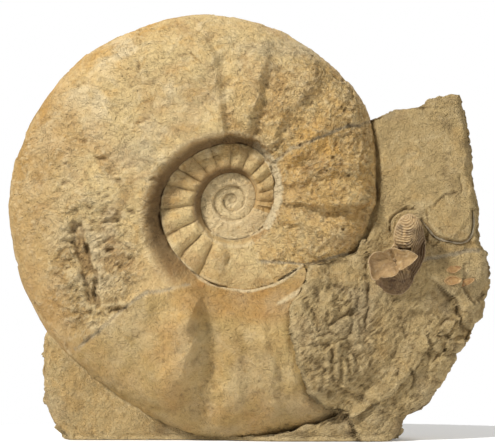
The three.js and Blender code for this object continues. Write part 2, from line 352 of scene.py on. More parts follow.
faces = [stitch(a, b) for a, b in zip(members, members[1:])]
first, last = members[0], members[-1]
faces.append(np.stack([np.full(len(first) - 1, near_pole), first[:-1], first[1:]], 1))
faces.append(np.stack([np.full(len(last) - 1, far_pole), last[1:], last[:-1]], 1))
rim_ring = next(i for i, ring in enumerate(rings) if ring[0] == 0 and ring[1] == 1)
for chain, flip in ((members[:rim_ring + 1], False), (members[rim_ring:][::-1], True)):
    pole = far_pole if flip else near_pole
    end = np.array([pole] + [ring[-1] for ring in chain])
    start = np.array([pole] + [ring[0] for ring in chain])
    band = zip_edges(end, start, radii)
    band = band[(band[:, 0] != band[:, 1]) & (band[:, 1] != band[:, 2]) & (band[:, 0] != band[:, 2])]
    faces.append(band[:, ::-1] if flip else band)
faces = np.concatenate(faces)

# The relief, in mm along the surface: ribs and folds first, then weathering. Lines and spots
# are placed in slightly bent coordinates, so that nothing on the stone runs straight.
x, z = points[:, 0], points[:, 2]
near = sides < 0
last_whorl = turns > MOUTH_TURN - 361
bend_x = 2.0 * grain(points, 12, 51) + 1.1 * grain(points, 4.5, 52)
bend_z = 2.0 * grain(points, 12, 53) + 1.1 * grain(points, 4.5, 54)
wx, wz = x + bend_x, z + bend_z

level = np.arange(len(RIB_CRESTS))
first_crest, last_crest = RIB_CRESTS[0], RIB_CRESTS[-1]
rib = np.interp(turns + 1.5 * grain(points, 14, 3), RIB_CRESTS, level)
rib = np.where(turns < first_crest, (turns - first_crest) / INNER_RIB_PITCH, rib)
off_crest = np.abs(rib - np.round(rib))
rib_wave = 0.5 * np.exp(-(off_crest / 0.26) ** 2) + 0.5 - 0.5 * np.exp(-((0.5 - off_crest) / 0.10) ** 2)
rib_fade = 1 - ramp(turns, last_crest + 2, last_crest + 16)
rib_reach = ramp(shares, 0.03, 0.2) * (1 - ramp(shares, 0.78, 0.98))
rib_height = np.where(turns < first_crest, 0.014, 0.066) * np.maximum(seam_radius(turns + 360), 6)
relief = rib_height * rib_wave * rib_fade * rib_reach

# Folds: crest angle, reach before and after it, height, and the shares where it starts and ends.
FOLDS = [
    (-33, 4, 6, 2.4, 0.15, 0.80), (-19, 4, 6, 3.0, 0.10, 0.85), (-1, 2.6, 9, 6.0, 0.10, 1.05),
    (17, 4, 8, 4.2, 0.10, 0.98), (36, 5, 8, 3.8, 0.12, 0.98), (59, 4, 9, 5.2, 0.06, 0.94),
    (78, 3.2, 9, 5.2, 0.05, 0.90), (99, 2.4, 12, 4.6, 0.06, 0.90), (118, 6, 8, 1.6, 0.10, 0.70),
    (252, 12, 3.4, 11.5, 0.10, 0.92), (230, 7, 6, 2.4, 0.25, 0.75), (271, 3.2, 2.6, 3.4, 0.26, 0.92),
    (282.5, 3.4, 2.4, 3.6, 0.20, 0.90), (290.5, 2.6, 2.4, 2.4, 0.2, 0.88),
]
swerve = turns + 3.4 * grain(points, 46, 7) + 1.9 * grain(points, 15, 8)
for crest, before, after, height, start, end in FOLDS:
    across = np.exp(-((swerve - crest) / np.where(swerve < crest, before, after)) ** 2)
    along = ramp(shares, start - 0.08, start + 0.16) * (1 - ramp(shares, end - 0.22, end + 0.06))
    height = height * (1 + 0.45 * grain(points, 24, 9))
    relief += np.where(last_whorl, height * across * along, 0)
trough = np.exp(-((swerve - 262.5) / 4.5) ** 2) * ramp(shares, 0.1, 0.3) * (1 - ramp(shares, 0.85, 1))
relief -= 4.6 * trough * last_whorl
lip_hollow = np.exp(-((swerve - 297) / 4.0) ** 2) * ramp(shares, 0.55, 0.75) * (1 - ramp(shares, 0.93, 1))
relief -= 4.0 * lip_hollow * last_whorl
ledge = ramp(swerve, -11.5, -6.0) * (1 - ramp(swerve, -6.0, -4.6))
relief -= 3.0 * ledge * ramp(shares, 0.35, 0.6) * (1 - ramp(shares, 0.9, 1)) * last_whorl

rough = last_whorl * np.maximum.reduce([
    1.1 * blot(wx, wz, (-127, 150), (37, 62), 0.45), 0.45 * blot(x, z, (-130, 225), (80, 80), 0.4),
    0.4 * blot(x, z, (-60, 315), (80, 46), 0.4), np.full(len(x), 0.12),
])
edge_calm = 1 - 0.6 * ramp(shares, 0.91, 0.99)
BODY_EDGE = [(-160, 64), (-131, 86), (-110, 103), (-88, 122), (-49, 130), (-15, 134), (50, 180)]
below_break = np.interp(wx, [row[0] for row in BODY_EDGE], [row[1] for row in BODY_EDGE]) - wz
smooth_body = last_whorl * ramp(below_break, 0, 5) * ramp(turns, 196, 210)
rough = rough * (1 - 0.9 * smooth_body) * edge_calm
wrinkled = last_whorl * blot(x, z, (66, 235), (88, 112), 0.45) * ramp(x, -34, -22) * edge_calm
inner = 1.0 - last_whorl

broad = layered(points, 60, 3, 1)
relief += np.where(last_whorl, (1.6 - 0.6 * smooth_body) * broad, 0.25 * broad)
middle = layered(points, 16, 4, 5)
middle_share = 0.34 + 0.8 * rough + 0.7 * wrinkled + 0.75 * smooth_body
relief += middle * middle_share * np.where(last_whorl, 1, 0.7)
warp = np.stack([grain(points, 22, 11), grain(points, 22, 12), grain(points, 22, 13)], 1)
SLANT = math.radians(32)
lengthwise = x * math.cos(SLANT) + z * math.sin(SLANT)
crosswise = z * math.cos(SLANT) - x * math.sin(SLANT)
slanted = np.stack([lengthwise, points[:, 1], 2.1 * crosswise], 1)
flaky = layered(slanted + 10 * warp, 34, 4, 17)
relief += rough * 3.0 * terraces(flaky, 5)
torn = layered(slanted + 8 * warp, 14, 4, 19)
relief += (rough + 0.5 * wrinkled + 0.35 * smooth_body) * 1.5 * terraces(torn, 3)
frills = 1 - np.abs(layered(points + 6 * warp, 9, 3, 23))
relief += (wrinkled * 1.1 + rough * 0.6) * frills ** 3
fine_share = 0.25 + 1.0 * rough + 1.0 * wrinkled + 0.35 * inner + 0.6 * smooth_body
relief += 0.34 * layered(points, 3.6, 2, 31) * fine_share
relief += 0.5 * grain(points, 7, 37) * inner * ramp(radii, 10, 30)

# Rim: small flakes have broken off along the keel.
rim_band = last_whorl * ramp(shares, 0.86, 0.97) * (1 - 0.7 * smooth_body)
away, own = spots(points + 4 * warp, 17, 39)
relief -= rim_band * (1.3 * own ** 3 + 0.4 * np.abs(grain(points, 9, 40)))

# Pits, the long scar on the left flank and the hollows beside it.
away, own = spots(points, 12, 41)
pit_size = 0.5 + 1.7 * own ** 3
pits = (1 - ramp(away, 0.4 * pit_size, pit_size)) * (0.25 + 0.3 * rough + 0.7 * wrinkled) * last_whorl
relief -= 1.2 * pits * pit_size
SCAR = [(-142, 176), (-138, 158), (-133, 140), (-128, 120)]
CREASE = [(-135, 163), (-129, 152), (-125, 137), (-127, 125), (-124, 112)]
trench = line_distance(wx + bend_x, wz, SCAR)
scar = near * (1 - ramp(trench, 3.5, 7.5))
relief -= scar * (5.5 + 0.5 * relief - 2.4 * np.abs(grain(points, 8, 44)))
crease = line_distance(wx, wz, CREASE)
crease = near * (1 - ramp(crease, 0.5, 3.2)) * ramp(grain(points, 10, 45), -0.5, 0.1)
relief -= 4.5 * crease
HOLLOWS = (((-107, 110), (7, 2.8), 4.6), ((-78, 218), (3.4, 1.8), 3.0),
           ((-114, 159), (4.0, 2.0), 3.4), ((-107, 216), (3, 2), 2.4),
           ((-18, 150), (1.8, 3.4), 2.4), ((79, 301), (1.6, 1.4), 1.6), ((80, 275), (2, 1.4), 1.8),
           ((86, 262), (1.4, 1.8), 1.5), ((-131, 195), (4, 2), 1.8), ((-121, 235), (5, 1.6), 1.8),
           ((-96, 190), (4, 2.4), 1.6), ((-150, 215), (4, 2), 1.8), ((-137, 250), (5, 2), 1.8))
for spot, reach, depth in HOLLOWS:
    relief -= near * depth * blot(wx, wz, spot, reach, 0.6)

# Old breaks that were glued, fine cracks, and the lines where sediment still clings.
GLUE_LINES = [
    [(20, 230), (35, 243), (60, 253), (81, 261), (104, 266)],
    [(-144, 77), (-131, 86), (-120, 95), (-110, 104), (-98, 114), (-86, 123), (-66, 127), (-49, 130)],
    [(12, 149), (35, 149), (46, 146), (69, 152), (90, 157), (110, 159)],
]
CRACKS = [
    [(-21, 66), (-7, 73), (12, 83)],
    [(-40, 234), (-29, 237), (-17, 241)], [(-91, 344), (-90, 323), (-91, 306)],
    [(-95, 262), (-82, 268), (-70, 262)],
    [(-160, 225), (-148, 232), (-138, 226)], [(-60, 318), (-48, 322), (-40, 314)],
]
SEDIMENT_ARC = [(7, 245.5), (13, 241), (19.5, 232), (23.5, 221), (25.5, 210), (25, 199),
                (21.5, 188), (16, 179)]
INNER_SEAM = [(16, 179), (7, 173), (-2, 170), (-9, 168.5), (-16, 168.5), (-23, 170), (-30, 173)]
LOWER_SEAM = [(-64, 159), (-56, 150), (-49, 143.5), (-40, 136), (-30, 130), (-15, 126), (2, 124.5),
              (16, 127), (27, 131), (36, 137), (44, 145)]
glue = np.min([line_distance(x + 0.4 * bend_x, z + 0.6 * bend_z, route) for route in GLUE_LINES], axis=0)
glue = near * (1 - ramp(glue, 0.6, 1.9)) * ramp(grain(points, 18, 55), -0.9, -0.1)
relief -= 0.7 * glue
cracks = np.min([line_distance(wx, wz, route) for route in CRACKS], axis=0)
cracks = near * (1 - ramp(cracks, 0.3, 1.3)) * ramp(grain(points, 9, 56), -0.6, 0.2)
relief -= (1.0 - 0.6 * smooth_body) * cracks
arc = line_distance(x + 0.3 * bend_x, z + 0.3 * bend_z, SEDIMENT_ARC)
arc = near * (1 - ramp(arc + 0.5 * bend_z, 2.6, 4.0))
thin = np.minimum(line_distance(x, z, INNER_SEAM), line_distance(x, z, LOWER_SEAM))
thin = near * (1 - ramp(thin + 0.35 * bend_z, 0.4, 1.5))
relief += 1.0 * arc + 0.8 * thin

# The body chamber's edge isn't straight: at the umbilicus it reaches further round.
MOUTH_EDGE = [(76, 22), (86, 20), (92, 13), (99, 5), (103, 2), (117, -1.0), (152, -3.6),
              (172, -3.2), (193, -0.8), (203, 3)]


def mouth_shift(radius):
    return np.interp(radius, [row[0] for row in MOUTH_EDGE], [row[1] for row in MOUTH_EDGE])


normals = point_normals(points, faces)
points = points + normals * (relief * np.where(near, 1, 0.8))[:, None]
shift = np.radians(mouth_shift(radii) + 1.2 * grain(points, 14, 57)) * ramp(turns, 279, 297)
dx, dz = points[:, 0] - COIL_X, points[:, 2] - COIL_Z
points[:, 0] = COIL_X + dx * np.cos(shift) - dz * np.sin(shift)
points[:, 2] = np.maximum(COIL_Z + dx * np.sin(shift) + dz * np.cos(shift), 0.05)
x, z = points[:, 0], points[:, 2]

# A round bake layout for each side of the coil.
reach = (radii + 26 * last_whorl * ramp(shares, 0.7, 1.0)) / 238
angle = np.radians(turns)
uv = np.where(
    near[:, None],
    np.stack([0.345 + 0.34 * reach * np.cos(angle), 0.345 + 0.34 * reach * np.sin(angle)], 1),
    np.stack([0.795 + 0.2 * reach * np.cos(angle), 0.795 + 0.2 * reach * np.sin(angle)], 1),
)

hollows = hollowness(points, faces)
stain = 0.5 + 0.5 * layered(points, 45, 4, 61)
orange = np.maximum(0.85 * blot(x, z, (70, 225), (74, 96), 0.4), 0.8 * blot(x, z, (5, 118), (70, 22), 0.5))
orange = np.maximum(orange, ramp(shares, 0.84, 0.96) * ramp(turns, 95, 120) * (1 - ramp(turns, 165, 190)))
orange = orange * (0.3 + 0.9 * stain) * last_whorl
of_wall = shares / wall_share(turns)
umbilical_wall = last_whorl * (1 - ramp(of_wall, 0.6, 1.3)) * near


def inner_seam_shade(start):
    """Painted shade on the inner whorls' seam at the upper left, from a share of the whorl's height outwards.
    """
    shade = inner * (1 - ramp(shares, start, 0.17)) * near
    return shade * ramp(turns, -325, -290) * (1 - ramp(turns, -165, -125))


# Painted shadow: the umbilical wall's upper left and the inner whorls' seam are darkened where shadow falls
# in them.
inner_wall_shade = inner_seam_shade(0.08)
seam_shade = last_whorl * (1 - ramp(of_wall, 0.4, 1.0)) * near
whorl_shade = inner_seam_shade(0.07)
top_left = ramp(turns, 40, 75) * (1 - ramp(turns, 205, 262))
# Umber is mostly the stone's own brown, but three terms are painted shade: the inner whorls' wall, the fold's
# trough and the thin band along the bottom edge.
umber = np.maximum.reduce([
    0.7 * scar, 1.2 * blot(x, z, (8, 120), (70, 20), 0.4) * ramp(turns, 190, 210),
    umbilical_wall * (0.7 - 0.1 * top_left), 0.8 * inner_wall_shade,
    0.8 * blot(x, z, (70, 24), (26, 14), 0.5) * last_whorl,
    0.4 * blot(x, z, (-20, 8), (60, 7), 0.5) * last_whorl,
    0.4 * trough * last_whorl, 0.25 * smooth_body * (0.35 + stain),
    0.85 * last_whorl * ramp(turns, 125, 165) * ramp(shares, 0.5, 0.85) * (0.5 + 0.6 * stain),
    0.35 * last_whorl * near * blot(x, z, (-110, 130), (50, 40), 0.6),
])
chalk = 0.8 * ramp(layered(points + 8 * warp, 30, 3, 65), -0.1, 0.5) * np.maximum(
    blot(x, z, (-98, 300), (52, 46), 0.6), 0.6 * rough)
CHALK_STREAK = [(17, 113), (34, 118)]
chalk = np.maximum(chalk, 0.8 * (1 - ramp(line_distance(wx, wz, CHALK_STREAK), 0.4, 2.6)))
pale = np.maximum.reduce([arc, 0.8 * thin, near * chalk, 0.5 * (turns < -380)])
grey = np.maximum.reduce([
    0.8 * glue, 0.45 * blot(x, z, (28, 327), (34, 7), 0.5), 0.4 * blot(x, z, (-92, 238), (20, 13), 0.5),
    0.30 * blot(x, z, (60, 30), (40, 12), 0.5),
    0.25 * smooth_body * ramp(layered(points, 32, 3, 67), -0.2, 0.6),
])
body_stain = 0.3 * smooth_body * ramp(layered(points, 24, 4, 68), -0.1, 0.5)
olive_ground = np.maximum(smooth_body, 0.45 * last_whorl * ramp(turns, 130, 170) * ramp(shares, 0.4, 0.8))
olive = olive_ground * (0.7 + 0.5 * layered(points, 20, 4, 69))
olive = olive * (1 - 0.75 * blot(x, z, (-60, 72), (13, 44), 0.6))
olive = olive * (1 - 0.6 * blot(x, z, (5, 116), (60, 14), 0.5))
# Painted shade: the stone is darkened in its hollows, on the umbilical wall's upper left, on the inner
# whorls' seam, in the scar's crease and in the glue lines' grooves.
hollow_shade = 0.75 * ramp(hollows, 0.05, 0.75) * (1 - pale) * (1 - blot(x, z, (-5, 138), (66, 24), 0.3))
colours = {
    "stain": orange + 0.25 * ramp(stain, 0.5, 1) + body_stain,
    "umber": umber,
    "pale": pale,
    "grey": grey,
    "olive": olive,
    "coarse": 0.3 + 0.7 * np.maximum(rough, wrinkled) + 0.4 * np.maximum(inner, smooth_body),
    "flaked": 0.25 + 0.75 * np.maximum(rough, 0.8 * wrinkled) - 0.1 * smooth_body,
    "painted_shade": np.maximum.reduce([
        hollow_shade, seam_shade * top_left, 0.9 * whorl_shade, 0.6 * crease, 0.3 * glue,
    ]),
    # Paler raised edges: partly wear, partly painted highlight.
    "wear_and_highlight": ramp(-hollows, 0.05, 0.6) * (1 - ramp(turns, 286, 293)) * (1 - 0.85 * smooth_body),
}


def stone_node(tree, kind, **settings):
    """Adds a shader node, sets its properties, and gives values to its named inputs."""
    node = tree.nodes.new(kind)
    for name, value in settings.items():
        if hasattr(node, name):
            setattr(node, name, value)
        else:
            node.inputs[name.replace("_", " ").title()].default_value = value
    return node


def tinted(tree, base, colour, amount, blend="MIX"):
    """Mixes a colour over another by an amount socket."""
    mix = tree.nodes.new("ShaderNodeMix")
    mix.data_type = "RGBA"
    mix.blend_type = blend
    tree.links.new(amount, mix.inputs["Factor"])
    if isinstance(base, tuple):
        mix.inputs[6].default_value = base
    else:
        tree.links.new(base, mix.inputs[6])
    if isinstance(colour, tuple):
        mix.inputs[7].default_value = colour
    else:
        tree.links.new(colour, mix.inputs[7])
    return mix.outputs[2]


def layer_value(tree, name, scale=1.0):
    """A colour layer of the mesh, as a number."""
    attribute = stone_node(tree, "ShaderNodeAttribute", attribute_name=name)
    if scale == 1.0:
        return attribute.outputs["Fac"]
    scaled = stone_node(tree, "ShaderNodeMath", operation="MULTIPLY")
    tree.links.new(attribute.outputs["Fac"], scaled.inputs[0])
    scaled.inputs[1].default_value = scale
    return scaled.outputs[0]


def cloud(tree, place, size, detail, low, high, distortion=0.0):
    """Noise in the object's own space, stretched so that low to high becomes 0 to 1."""
    noise = stone_node(tree, "ShaderNodeTexNoise", noise_dimensions="3D")
    noise.inputs["Scale"].default_value = 1 / (size * MM)
    noise.inputs["Detail"].default_value = detail
    noise.inputs["Roughness"].default_value = 0.6
    noise.inputs["Distortion"].default_value = distortion
    tree.links.new(place, noise.inputs["Vector"])
    reach = stone_node(tree, "ShaderNodeMapRange", interpolation_type="SMOOTHSTEP")
    reach.inputs["From Min"].default_value = low
    reach.inputs["From Max"].default_value = high
    tree.links.new(noise.outputs["Fac"], reach.inputs["Value"])
    return reach.outputs["Result"]


def times(tree, a, b):
    product = stone_node(tree, "ShaderNodeMath", operation="MULTIPLY")
    for socket, value in zip(product.inputs, (a, b)):
        if isinstance(value, float):
            socket.default_value = value
        else:
            tree.links.new(value, socket)
    return product.outputs[0]


def bumped(tree, heights, shader):
    """Fine relief: a chain of bumps, each a height socket with its depth in mm."""
    normal = None
    for height, depth in heights:
        bump = stone_node(tree, "ShaderNodeBump")
        bump.inputs["Distance"].default_value = depth * MM
        tree.links.new(height, bump.inputs["Height"])
        if normal:
            tree.links.new(normal, bump.inputs["Normal"])
        normal = bump.outputs["Normal"]
    tree.links.new(normal, shader.inputs["Normal"])


def stone_material(name, roughness):
    material = bpy.data.materials.new(name)
    material.use_nodes = True
    tree = material.node_tree
    shader = tree.nodes["Principled BSDF"]
    shader.inputs["Roughness"].default_value = roughness
    shader.inputs["Specular IOR Level"].default_value = 0.3
    place = tree.nodes.new("ShaderNodeTexCoord").outputs["Object"]
    return material, tree, shader, place


def ridged(tree, place, size, detail, distortion, width):
    """Thin wandering lines: 1 on a line, 0 away from it."""
    noise = stone_node(tree, "ShaderNodeTexNoise", noise_dimensions="3D")
    noise.inputs["Scale"].default_value = 1 / (size * MM)
    noise.inputs["Detail"].default_value = detail
    noise.inputs["Distortion"].default_value = distortion
    tree.links.new(place, noise.inputs["Vector"])
    centred = stone_node(tree, "ShaderNodeMath", operation="SUBTRACT")
    tree.links.new(noise.outputs["Fac"], centred.inputs[0])
    centred.inputs[1].default_value = 0.5
    folded = stone_node(tree, "ShaderNodeMath", operation="ABSOLUTE")
    tree.links.new(centred.outputs[0], folded.inputs[0])
    reach = stone_node(tree, "ShaderNodeMapRange", interpolation_type="SMOOTHSTEP")
    reach.inputs["From Min"].default_value = width
    reach.inputs["From Max"].default_value = 0.0
    tree.links.new(folded.outputs[0], reach.inputs["Value"])
    return reach.outputs["Result"]


def flake_edges(tree, place, size, detail, level, slant):
    """Thin layers with crisp broken edges, drawn out along a slanting direction."""
    turned = stone_node(tree, "ShaderNodeMapping", vector_type="POINT")
    turned.inputs["Rotation"].default_value = (0, math.radians(slant), 0)
    turned.inputs["Scale"].default_value = (1, 1, 1.9)
    tree.links.new(place, turned.inputs["Vector"])
    return cloud(tree, turned.outputs["Vector"], size, detail, level, level + 0.035, 0.9)


BUFF = (0.535, 0.392, 0.180, 1)
DEEP_BUFF = (0.420, 0.275, 0.115, 1)
OCHRE = (0.500, 0.290, 0.080, 1)
RUST_STAIN = (0.300, 0.150, 0.042, 1)
CHALK = (0.620, 0.495, 0.290, 1)
FILLER_GREY = (0.430, 0.355, 0.220, 1)
OLIVE_BUFF = (0.330, 0.225, 0.075, 1)
# A dark brown used for painted shade in hollows and seams, and for fine dark specks and wrinkle lines.
SHADE_AND_SPECK_BROWN = (0.100, 0.054, 0.018, 1)

ammonite_stone, tree, shader, place = stone_material("buff_limestone", 0.82)
coarse = layer_value(tree, "coarse")
colour = tinted(tree, BUFF, DEEP_BUFF, cloud(tree, place, 38, 5, 0.42, 0.66, 0.6))
colour = tinted(tree, colour, OCHRE, times(tree, cloud(tree, place, 17, 6, 0.50, 0.72, 1.2), 0.45))
colour = tinted(tree, colour, CHALK, times(tree, cloud(tree, place, 21, 6, 0.52, 0.74, 1.0), 0.55))
colour = tinted(tree, colour, OCHRE, times(tree, layer_value(tree, "stain"),
                                           cloud(tree, place, 16, 5, 0.25, 0.6, 0.8)))
rust = times(tree, layer_value(tree, "stain"), cloud(tree, place, 7, 5, 0.5, 0.68, 0.5))
colour = tinted(tree, colour, RUST_STAIN, times(tree, rust, 0.6))
colour = tinted(tree, colour, RUST_STAIN, times(tree, layer_value(tree, "umber"), 0.62))
colour = tinted(tree, colour, OLIVE_BUFF, times(tree, layer_value(tree, "olive", 0.75),
                                                cloud(tree, place, 9, 5, 0.1, 0.5, 0.5)))
colour = tinted(tree, colour, FILLER_GREY, times(tree, layer_value(tree, "grey"),
                                                 cloud(tree, place, 5, 4, 0.2, 0.5)))
colour = tinted(tree, colour, CHALK, times(tree, layer_value(tree, "pale"),
                                           cloud(tree, place, 4, 4, 0.2, 0.5)))
# Raised edges lightened: partly wear, partly painted highlight.
colour = tinted(tree, colour, CHALK, layer_value(tree, "wear_and_highlight", 0.4))
# Painted shade in hollows, seams and creases, mixed in from its layer.
colour = tinted(tree, colour, SHADE_AND_SPECK_BROWN, layer_value(tree, "painted_shade", 0.8))
wrinkles = times(tree, ridged(tree, place, 10, 2, 1.2, 0.05), coarse)
colour = tinted(tree, colour, SHADE_AND_SPECK_BROWN, times(tree, wrinkles, 0.10))
colour = tinted(tree, colour, SHADE_AND_SPECK_BROWN, times(tree, cloud(tree, place, 1.3, 3, 0.56, 0.72), 0.28))
tree.links.new(colour, shader.inputs["Base Color"])
flaked = layer_value(tree, "flaked")
upper_flakes = times(tree, flake_edges(tree, place, 30, 6, 0.47, 32), flaked)
lower_flakes = times(tree, flake_edges(tree, place, 19, 6, 0.53, 20), flaked)
bumped(tree, [
    (upper_flakes, 1.1),
    (lower_flakes, 1.0),
    (times(tree, cloud(tree, place, 6.0, 5, 0.25, 0.75, 0.4), coarse), 1.3),
    (times(tree, wrinkles, -1.0), 0.45),
    (times(tree, cloud(tree, place, 1.4, 3, 0.3, 0.7), coarse), 0.5),
    (cloud(tree, place, 3.0, 4, 0.3, 0.7), 0.28),
    (ridged(tree, place, 4.5, 3, 1.6, 0.12), 0.22),
], shader)

ammonite = stone_mesh("ammonite_fossil", points, faces, uv, colours)
ammonite.data.materials.append(ammonite_stone)
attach(ammonite, "root")
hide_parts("ammonite")

# ------------------------------------------------------------------ the rock
# A block of the khaki sandy limestone that the ammonite lay in. Below and behind the coil it
# was left as it broke, it fills the mouth of the body chamber, and it was sawn flat
# underneath, so that the piece stands.

low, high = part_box("matrix_block")
LEFT_EDGE = [(-152, 0), (-161, 12), (-168, 28), (-171, 44), (-172, 66), (-168, 88), (-135, 108),
             (-80, 148), (-20, 190), (45, 230), (103, 266), (124, 277), (146, 279), (163, 287),
             (174, 289.5)]
RIGHT_EDGE = [(119, 0), (127, 8), (128.5, 14), (128, 18.5), (142, 25), (152, 36), (163, 50),
              (175, 70), (185, 88), (193, 100), (197, 118), (202, 128), (202, 142), (198, 158),
              (192, 172), (193, 190),
              (191, 204), (187, 232), (182, 270), (178, 289.5)]
OPEN_FACE, LOW_FACE, FOOT_FACE, HIDDEN_FACE = -19, -35, -15, 8
BACK_FACES = [(48, 0, 0.015), (60, -0.16, -0.01), (56, 0.13, 0.03), (64, -0.05, -0.11), (72, 0.06, -0.15)]
SHELL_LINE = [(145, 184), (151, 175.5), (155.5, 170), (161, 167.5), (168, 166), (177.5, 164.2),
              (184, 166.5), (187.5, 172), (189, 181), (188, 192)]


def edge_at(edge, level):
    return np.interp(level, [row[1] for row in edge], [row[0] for row in edge])


def rock_front(x, z):
    """Depth of the rock's near face before weathering, in mm."""
    dx, dz = x - COIL_X, z - COIL_Z
    radius = np.hypot(dx, dz)
    angle = np.degrees(np.arctan2(dz, dx))
    turn = np.where(angle < MOUTH_TURN - 360, angle + 360, angle)
    rim = rim_radius(turn)
    away = np.maximum(ramp(dx, 85, 225), ramp(z, 110, 205))
    open_face = LOW_FACE + (OPEN_FACE - LOW_FACE) * away
    foot = FOOT_FACE + (open_face + 3 - FOOT_FACE) * ramp(angle, -99, -76)
    past_mouth = angle - (MOUTH_TURN - 361) - mouth_shift(radius)
    within = np.clip(radius, 84, 191)
    filled = COIL_Y - flank(within, np.full(len(x), MOUTH_TURN - 1.0))[0] - 4.2 * ramp(radius, 80, 100)
    fill = filled + (open_face - filled) * ramp(past_mouth, 1, 32)
    trench = 6.5 * (1 - ramp(radius - rim, -1, 4))
    beside = np.where(angle < MOUTH_TURN - 360, foot, open_face + trench * (angle > -24))
    beside = np.where(angle > 90, FOOT_FACE, beside)
    covered = np.where(radius < rim - 5, HIDDEN_FACE, beside)
    cover_line = np.interp(x, [20, 44, 69, 90, 108, 118], [160, 146, 151, 156, 159, 159])
    in_mouth = (past_mouth > -5) & (angle > -75) & (angle < -17) & (radius > 74) & (radius < 207)
    bank = HIDDEN_FACE + (fill - HIDDEN_FACE) * ramp(radius, 74, 86) * ramp(past_mouth, -5, -1.6)
    bank = bank + (HIDDEN_FACE - bank) * ramp(z - cover_line, 0, 2) * (radius < rim - 3)
    face = np.where(in_mouth, np.minimum(bank, covered), covered)
    old_flank = COIL_Y - flank(np.minimum(radius, rim - 3), angle)[0] - 1.6
    spread = ramp(cover_line - z, -1, 3) * (past_mouth > 0) * (angle > -60) * (radius < rim + 4) * (x > 42)
    return face + (np.minimum(face, old_flank) - face) * spread


levels = np.concatenate([np.linspace(0, 262, 190, endpoint=False), np.linspace(262, 289.2, 55)])
NEAR_COUNT, WALL_COUNT, BACK_COUNT = 186, 32, 84
loops = []
for height in levels:
    here = np.array([[0.0, 0.0, height]])
    nibble = 2.2 * layered(here, 19, 3, 67)[0] + 0.8 * grain(here, 3.5, 68)[0]
    other_nibble = 1.6 * layered(here, 17, 3, 69)[0]
    left = edge_at(LEFT_EDGE, height) + other_nibble
    right = edge_at(RIGHT_EDGE, height) + nibble
    across = np.linspace(left, right, 500)
    front = rock_front(across, np.full(500, height))
    weight = np.where(front >= HIDDEN_FACE - 0.5, 0.25, 1.0)
    run = np.concatenate([[0], np.cumsum((weight[1:] + weight[:-1]) / 2)])
    near_x = np.interp(np.linspace(0, run[-1], NEAR_COUNT), run, across)
    level_row = np.full(NEAR_COUNT, height)
    near_y = rock_front(near_x, level_row)
    row = np.stack([near_x, near_x * 0, level_row], 1)
    from_edge = np.minimum(line_distance(near_x, level_row, LEFT_EDGE),
                           line_distance(near_x, level_row, RIGHT_EDGE))
    bevel = 5.5 + 3.5 * grain(row, 18, 97) + 5 * blot(near_x, level_row, (180, 80), (30, 60), 0.5)
    near_y = near_y + 1.1 * bevel * (1 - np.clip(from_edge / bevel, 0, 1)) ** 1.8
    back_x = np.linspace(right, left, BACK_COUNT)
    back_y = np.min([y + sx * back_x + sz * height for y, sx, sz in BACK_FACES], axis=0)
    wall = np.linspace(0, 1, WALL_COUNT + 2)[1:-1]
    loop_x = np.concatenate([near_x, np.full(WALL_COUNT, right), back_x, np.full(WALL_COUNT, left)])
    loop_y = np.concatenate([near_y, near_y[-1] + (back_y[0] - near_y[-1]) * wall, back_y,
                             back_y[-1] + (near_y[0] - back_y[-1]) * wall])
    loops.append(np.stack([loop_x, loop_y, np.full(len(loop_x), height)], 1))
around = len(loops[0])
points = np.concatenate(loops)
index = np.arange(len(points)).reshape(len(levels), around)
index = np.concatenate([index, index[:, :1]], 1)
faces = np.concatenate([stitch(a, b)[:, ::-1] for a, b in zip(index, index[1:])])
ends = [points[index[0, :-1]].mean(0), points[index[-1, :-1]].mean(0)]
points = np.concatenate([points, ends])
base_fan = np.stack([np.full(around, len(points) - 2), index[0, 1:], index[0, :-1]], 1)
top_fan = np.stack([np.full(around, len(points) - 1), index[-1, :-1], index[-1, 1:]], 1)
faces = np.concatenate([faces, base_fan, top_fan])
x, y, z = points.T.copy()
part = np.tile(np.repeat([0, 1, 2, 3], [NEAR_COUNT, WALL_COUNT, BACK_COUNT, WALL_COUNT]), len(levels))
part = np.concatenate([part, [4, 4]])
near = part == 0
bend_x = 2.2 * grain(points, 12, 101) + 1.3 * grain(points, 4.5, 102)
bend_z = 2.2 * grain(points, 12, 103) + 1.3 * grain(points, 4.5, 104)
wx, wz = x + bend_x, z + bend_z

warp = np.stack([grain(points, 26, 71), grain(points, 26, 72), grain(points, 26, 73)], 1)
lower = blot(x, z, (115, 72), (85, 72), 0.45)
calm = blot(x, z, (150, 240), (50, 52), 0.5)
mouth = blot(x, z, (72, 80), (32, 60), 0.5)
chipped = blot(x, z, (176, 85), (26, 55), 0.5)
quiet = 1 - 0.85 * blot(x, z, (176, 137), (22, 15), 0.4)
relief = 1.7 * layered(points, 55, 3, 75)
relief += layered(points, 17, 4, 76) * (0.9 + 0.7 * lower - 0.45 * calm) * quiet
relief += 1.9 * terraces(layered(points + 10 * warp, 34, 4, 81), 4) * (1 - 0.5 * calm) * quiet
relief += 1.2 * terraces(layered(points + 6 * warp, 13, 4, 83), 3) * (0.5 + lower + mouth) * quiet
relief += near * mouth * (1.2 * layered(points, 9, 3, 84) - 1.5 * np.abs(grain(points + 2 * warp, 11, 86)))
tilted = points @ np.array([[0.8, 0, 0.6], [0, 1, 0], [-0.6, 0, 0.8]]) * np.array([1, 1, 0.4])
relief += 1.0 * (1 - np.abs(layered(tilted + 3 * warp, 7, 3, 85))) ** 3 * (0.2 + lower + 0.6 * mouth) * quiet
away, own = spots(points + 2 * warp, 14, 88)
pit_size = 0.6 + 2.0 * own ** 3
relief -= 1.0 * pit_size * (1 - ramp(away, 0.35 * pit_size, pit_size)) * (0.5 + lower) * quiet
relief += 0.34 * layered(points, 3.6, 2, 91)
away, own = spots(points + 5 * warp, 15, 93)
relief -= chipped * near * (5 * own - 1.5)
away, own = spots(points + 6 * warp, 26, 95)
relief += np.where(near, 0, 5.0 * (own - 0.5)) + np.where(near, 0, 1.6 * layered(points, 9, 3, 96))

